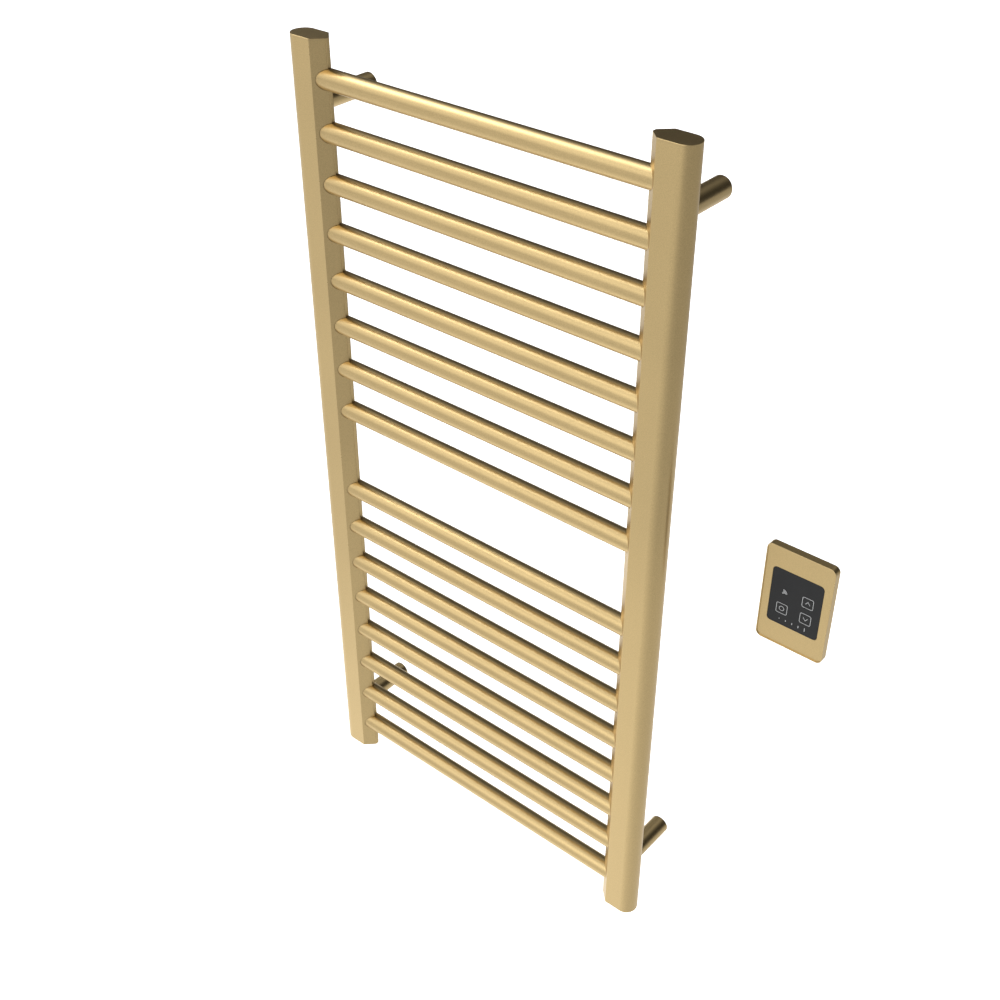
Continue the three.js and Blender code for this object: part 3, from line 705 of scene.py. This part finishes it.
# ------------------------------------------------------------------ floor, light, camera
FLOOR_Z = -0.30
bpy.ops.mesh.primitive_plane_add(size=24, location=(0, 0, FLOOR_Z))
floor = bpy.context.object
floor.name = "floor"
fm, nt, bsdf = nodes_of("pale_floor")
bsdf.inputs["Base Color"].default_value = (0.86, 0.86, 0.86, 1)
bsdf.inputs["Roughness"].default_value = 0.9
bsdf.inputs["Specular IOR Level"].default_value = 0.0
bsdf.inputs["Emission Color"].default_value = (1, 1, 1, 1)
bsdf.inputs["Emission Strength"].default_value = 1.0
# from underneath, the floor is clear, so the part's underside can be looked at
clear = nt.nodes.new("ShaderNodeBsdfTransparent")
side_mix = nt.nodes.new("ShaderNodeMixShader")
link(nt, nt.nodes.new("ShaderNodeNewGeometry").outputs["Backfacing"], side_mix.inputs["Fac"])
link(nt, bsdf.outputs["BSDF"], side_mix.inputs[1])
link(nt, clear.outputs["BSDF"], side_mix.inputs[2])
link(nt, side_mix.outputs["Shader"], nt.nodes["Material Output"].inputs["Surface"])
floor.data.materials.append(fm)
bpy.ops.mesh.primitive_uv_sphere_add(segments=48, ring_count=24, radius=14, location=(0, 0, FLOOR_Z))
backdrop = bpy.context.object
backdrop.name = "backdrop"
bm_, nt, bsdf = nodes_of("pale_backdrop")
bsdf.inputs["Base Color"].default_value = (0.86, 0.86, 0.86, 1)
bsdf.inputs["Roughness"].default_value = 0.9
bsdf.inputs["Specular IOR Level"].default_value = 0.0
bsdf.inputs["Emission Color"].default_value = (1, 1, 1, 1)
bsdf.inputs["Emission Strength"].default_value = 1.0
backdrop.data.materials.append(bm_)
# floor and backdrop are one plain white sweep round the part; the light that they send back is in the studio below
for sweep in (floor, backdrop):
    sweep.visible_glossy = False
    sweep.visible_diffuse = False
    sweep.visible_transmission = False
    sweep.visible_shadow = False

# plain studio: a few soft white lights, each (elevation, azimuth, tightness, strength), and the light that a pale floor sends up
LIGHTS = [
    (50, 275, 40, 4.7),
    (35, 270, 14, 1.7),
    (35, 0, 14, 2.5),
    (10, 0, 14, 1.3),
    (35, 315, 14, 0.9),
    (10, 315, 14, 0.5),
    (60, 180, 14, 0.45),
]
EVEN, BOUNCE, BOUNCE_LEFT = 0.04, 0.43, 0.72
world = bpy.data.worlds.new("studio")
scene.world = world
world.use_nodes = True
wt = world.node_tree
bg = wt.nodes["Background"]
bg.inputs["Color"].default_value = (1, 1, 1, 1)
toward = wt.nodes.new("ShaderNodeTexCoord").outputs["Generated"]


def lobe(el, az, power):
    """1 towards that direction, falling off softly all round it."""
    el, az = math.radians(el), math.radians(az)
    dot = wt.nodes.new("ShaderNodeVectorMath")
    dot.operation = "DOT_PRODUCT"
    wt.links.new(toward, dot.inputs[0])
    dot.inputs[1].default_value = (math.sin(az) * math.cos(el), -math.cos(az) * math.cos(el), math.sin(el))
    return math_node(wt, "POWER", math_node(wt, "MAXIMUM", dot.outputs["Value"], 0.0), power)


split = wt.nodes.new("ShaderNodeSeparateXYZ")
wt.links.new(toward, split.inputs[0])
below = ranged(wt, split.outputs["Z"], 1.0, 0.0, -0.06, 0.02)
# the floor is a little brighter at the left, under the main light
up_light = math_node(wt, "ADD", math_node(wt, "MULTIPLY", lobe(-60, 270, 2.0), BOUNCE_LEFT), BOUNCE)
total = math_node(wt, "MULTIPLY", up_light, below)
for el, az, power, strength in LIGHTS:
    total = math_node(wt, "ADD", total, math_node(wt, "MULTIPLY", lobe(el, az, power), strength))
total = math_node(wt, "ADD", total, EVEN)
wt.links.new(total, bg.inputs["Strength"])

# the stretch of floor under the part is lit a little more than the rest, so the lower end is brighter
CARD_R, CARD_RADIANCE = 1.3, 0.2
card = bpy.data.lights.new("floor_glow", "AREA")
card.shape = "DISK"
card.size = 2 * CARD_R
card.energy = CARD_RADIANCE * math.pi * math.pi * CARD_R ** 2
card_ob = bpy.data.objects.new("floor_glow", card)
card_ob.location = (0.35, 0.25, FLOOR_Z + 0.01)
card_ob.rotation_euler = (math.pi, 0, 0)
card_ob.visible_camera = False
scene.collection.objects.link(card_ob)

cam = bpy.data.cameras.new("camera")
cam.sensor_fit = "HORIZONTAL"
cam.sensor_width = 36.0
cam.lens = 1385.42 * 36.0 / 1000.0
cam.clip_start = 0.05
cam.clip_end = 60
cam_ob = bpy.data.objects.new("camera", cam)
scene.collection.objects.link(cam_ob)
yaw, pitch = 0.69911, 0.61531
d = Vector((-math.sin(yaw) * math.cos(pitch), math.cos(yaw) * math.cos(pitch), -math.sin(pitch)))
cam_ob.location = (0.84543, -0.97249 - 0.0815, 1.42830)
cam_ob.rotation_euler = d.to_track_quat("-Z", "Y").to_euler()
scene.camera = cam_ob

scene.view_settings.view_transform = "Standard"
scene.view_settings.look = "None"
scene.view_settings.exposure = 0.0
scene.view_settings.gamma = 1.0
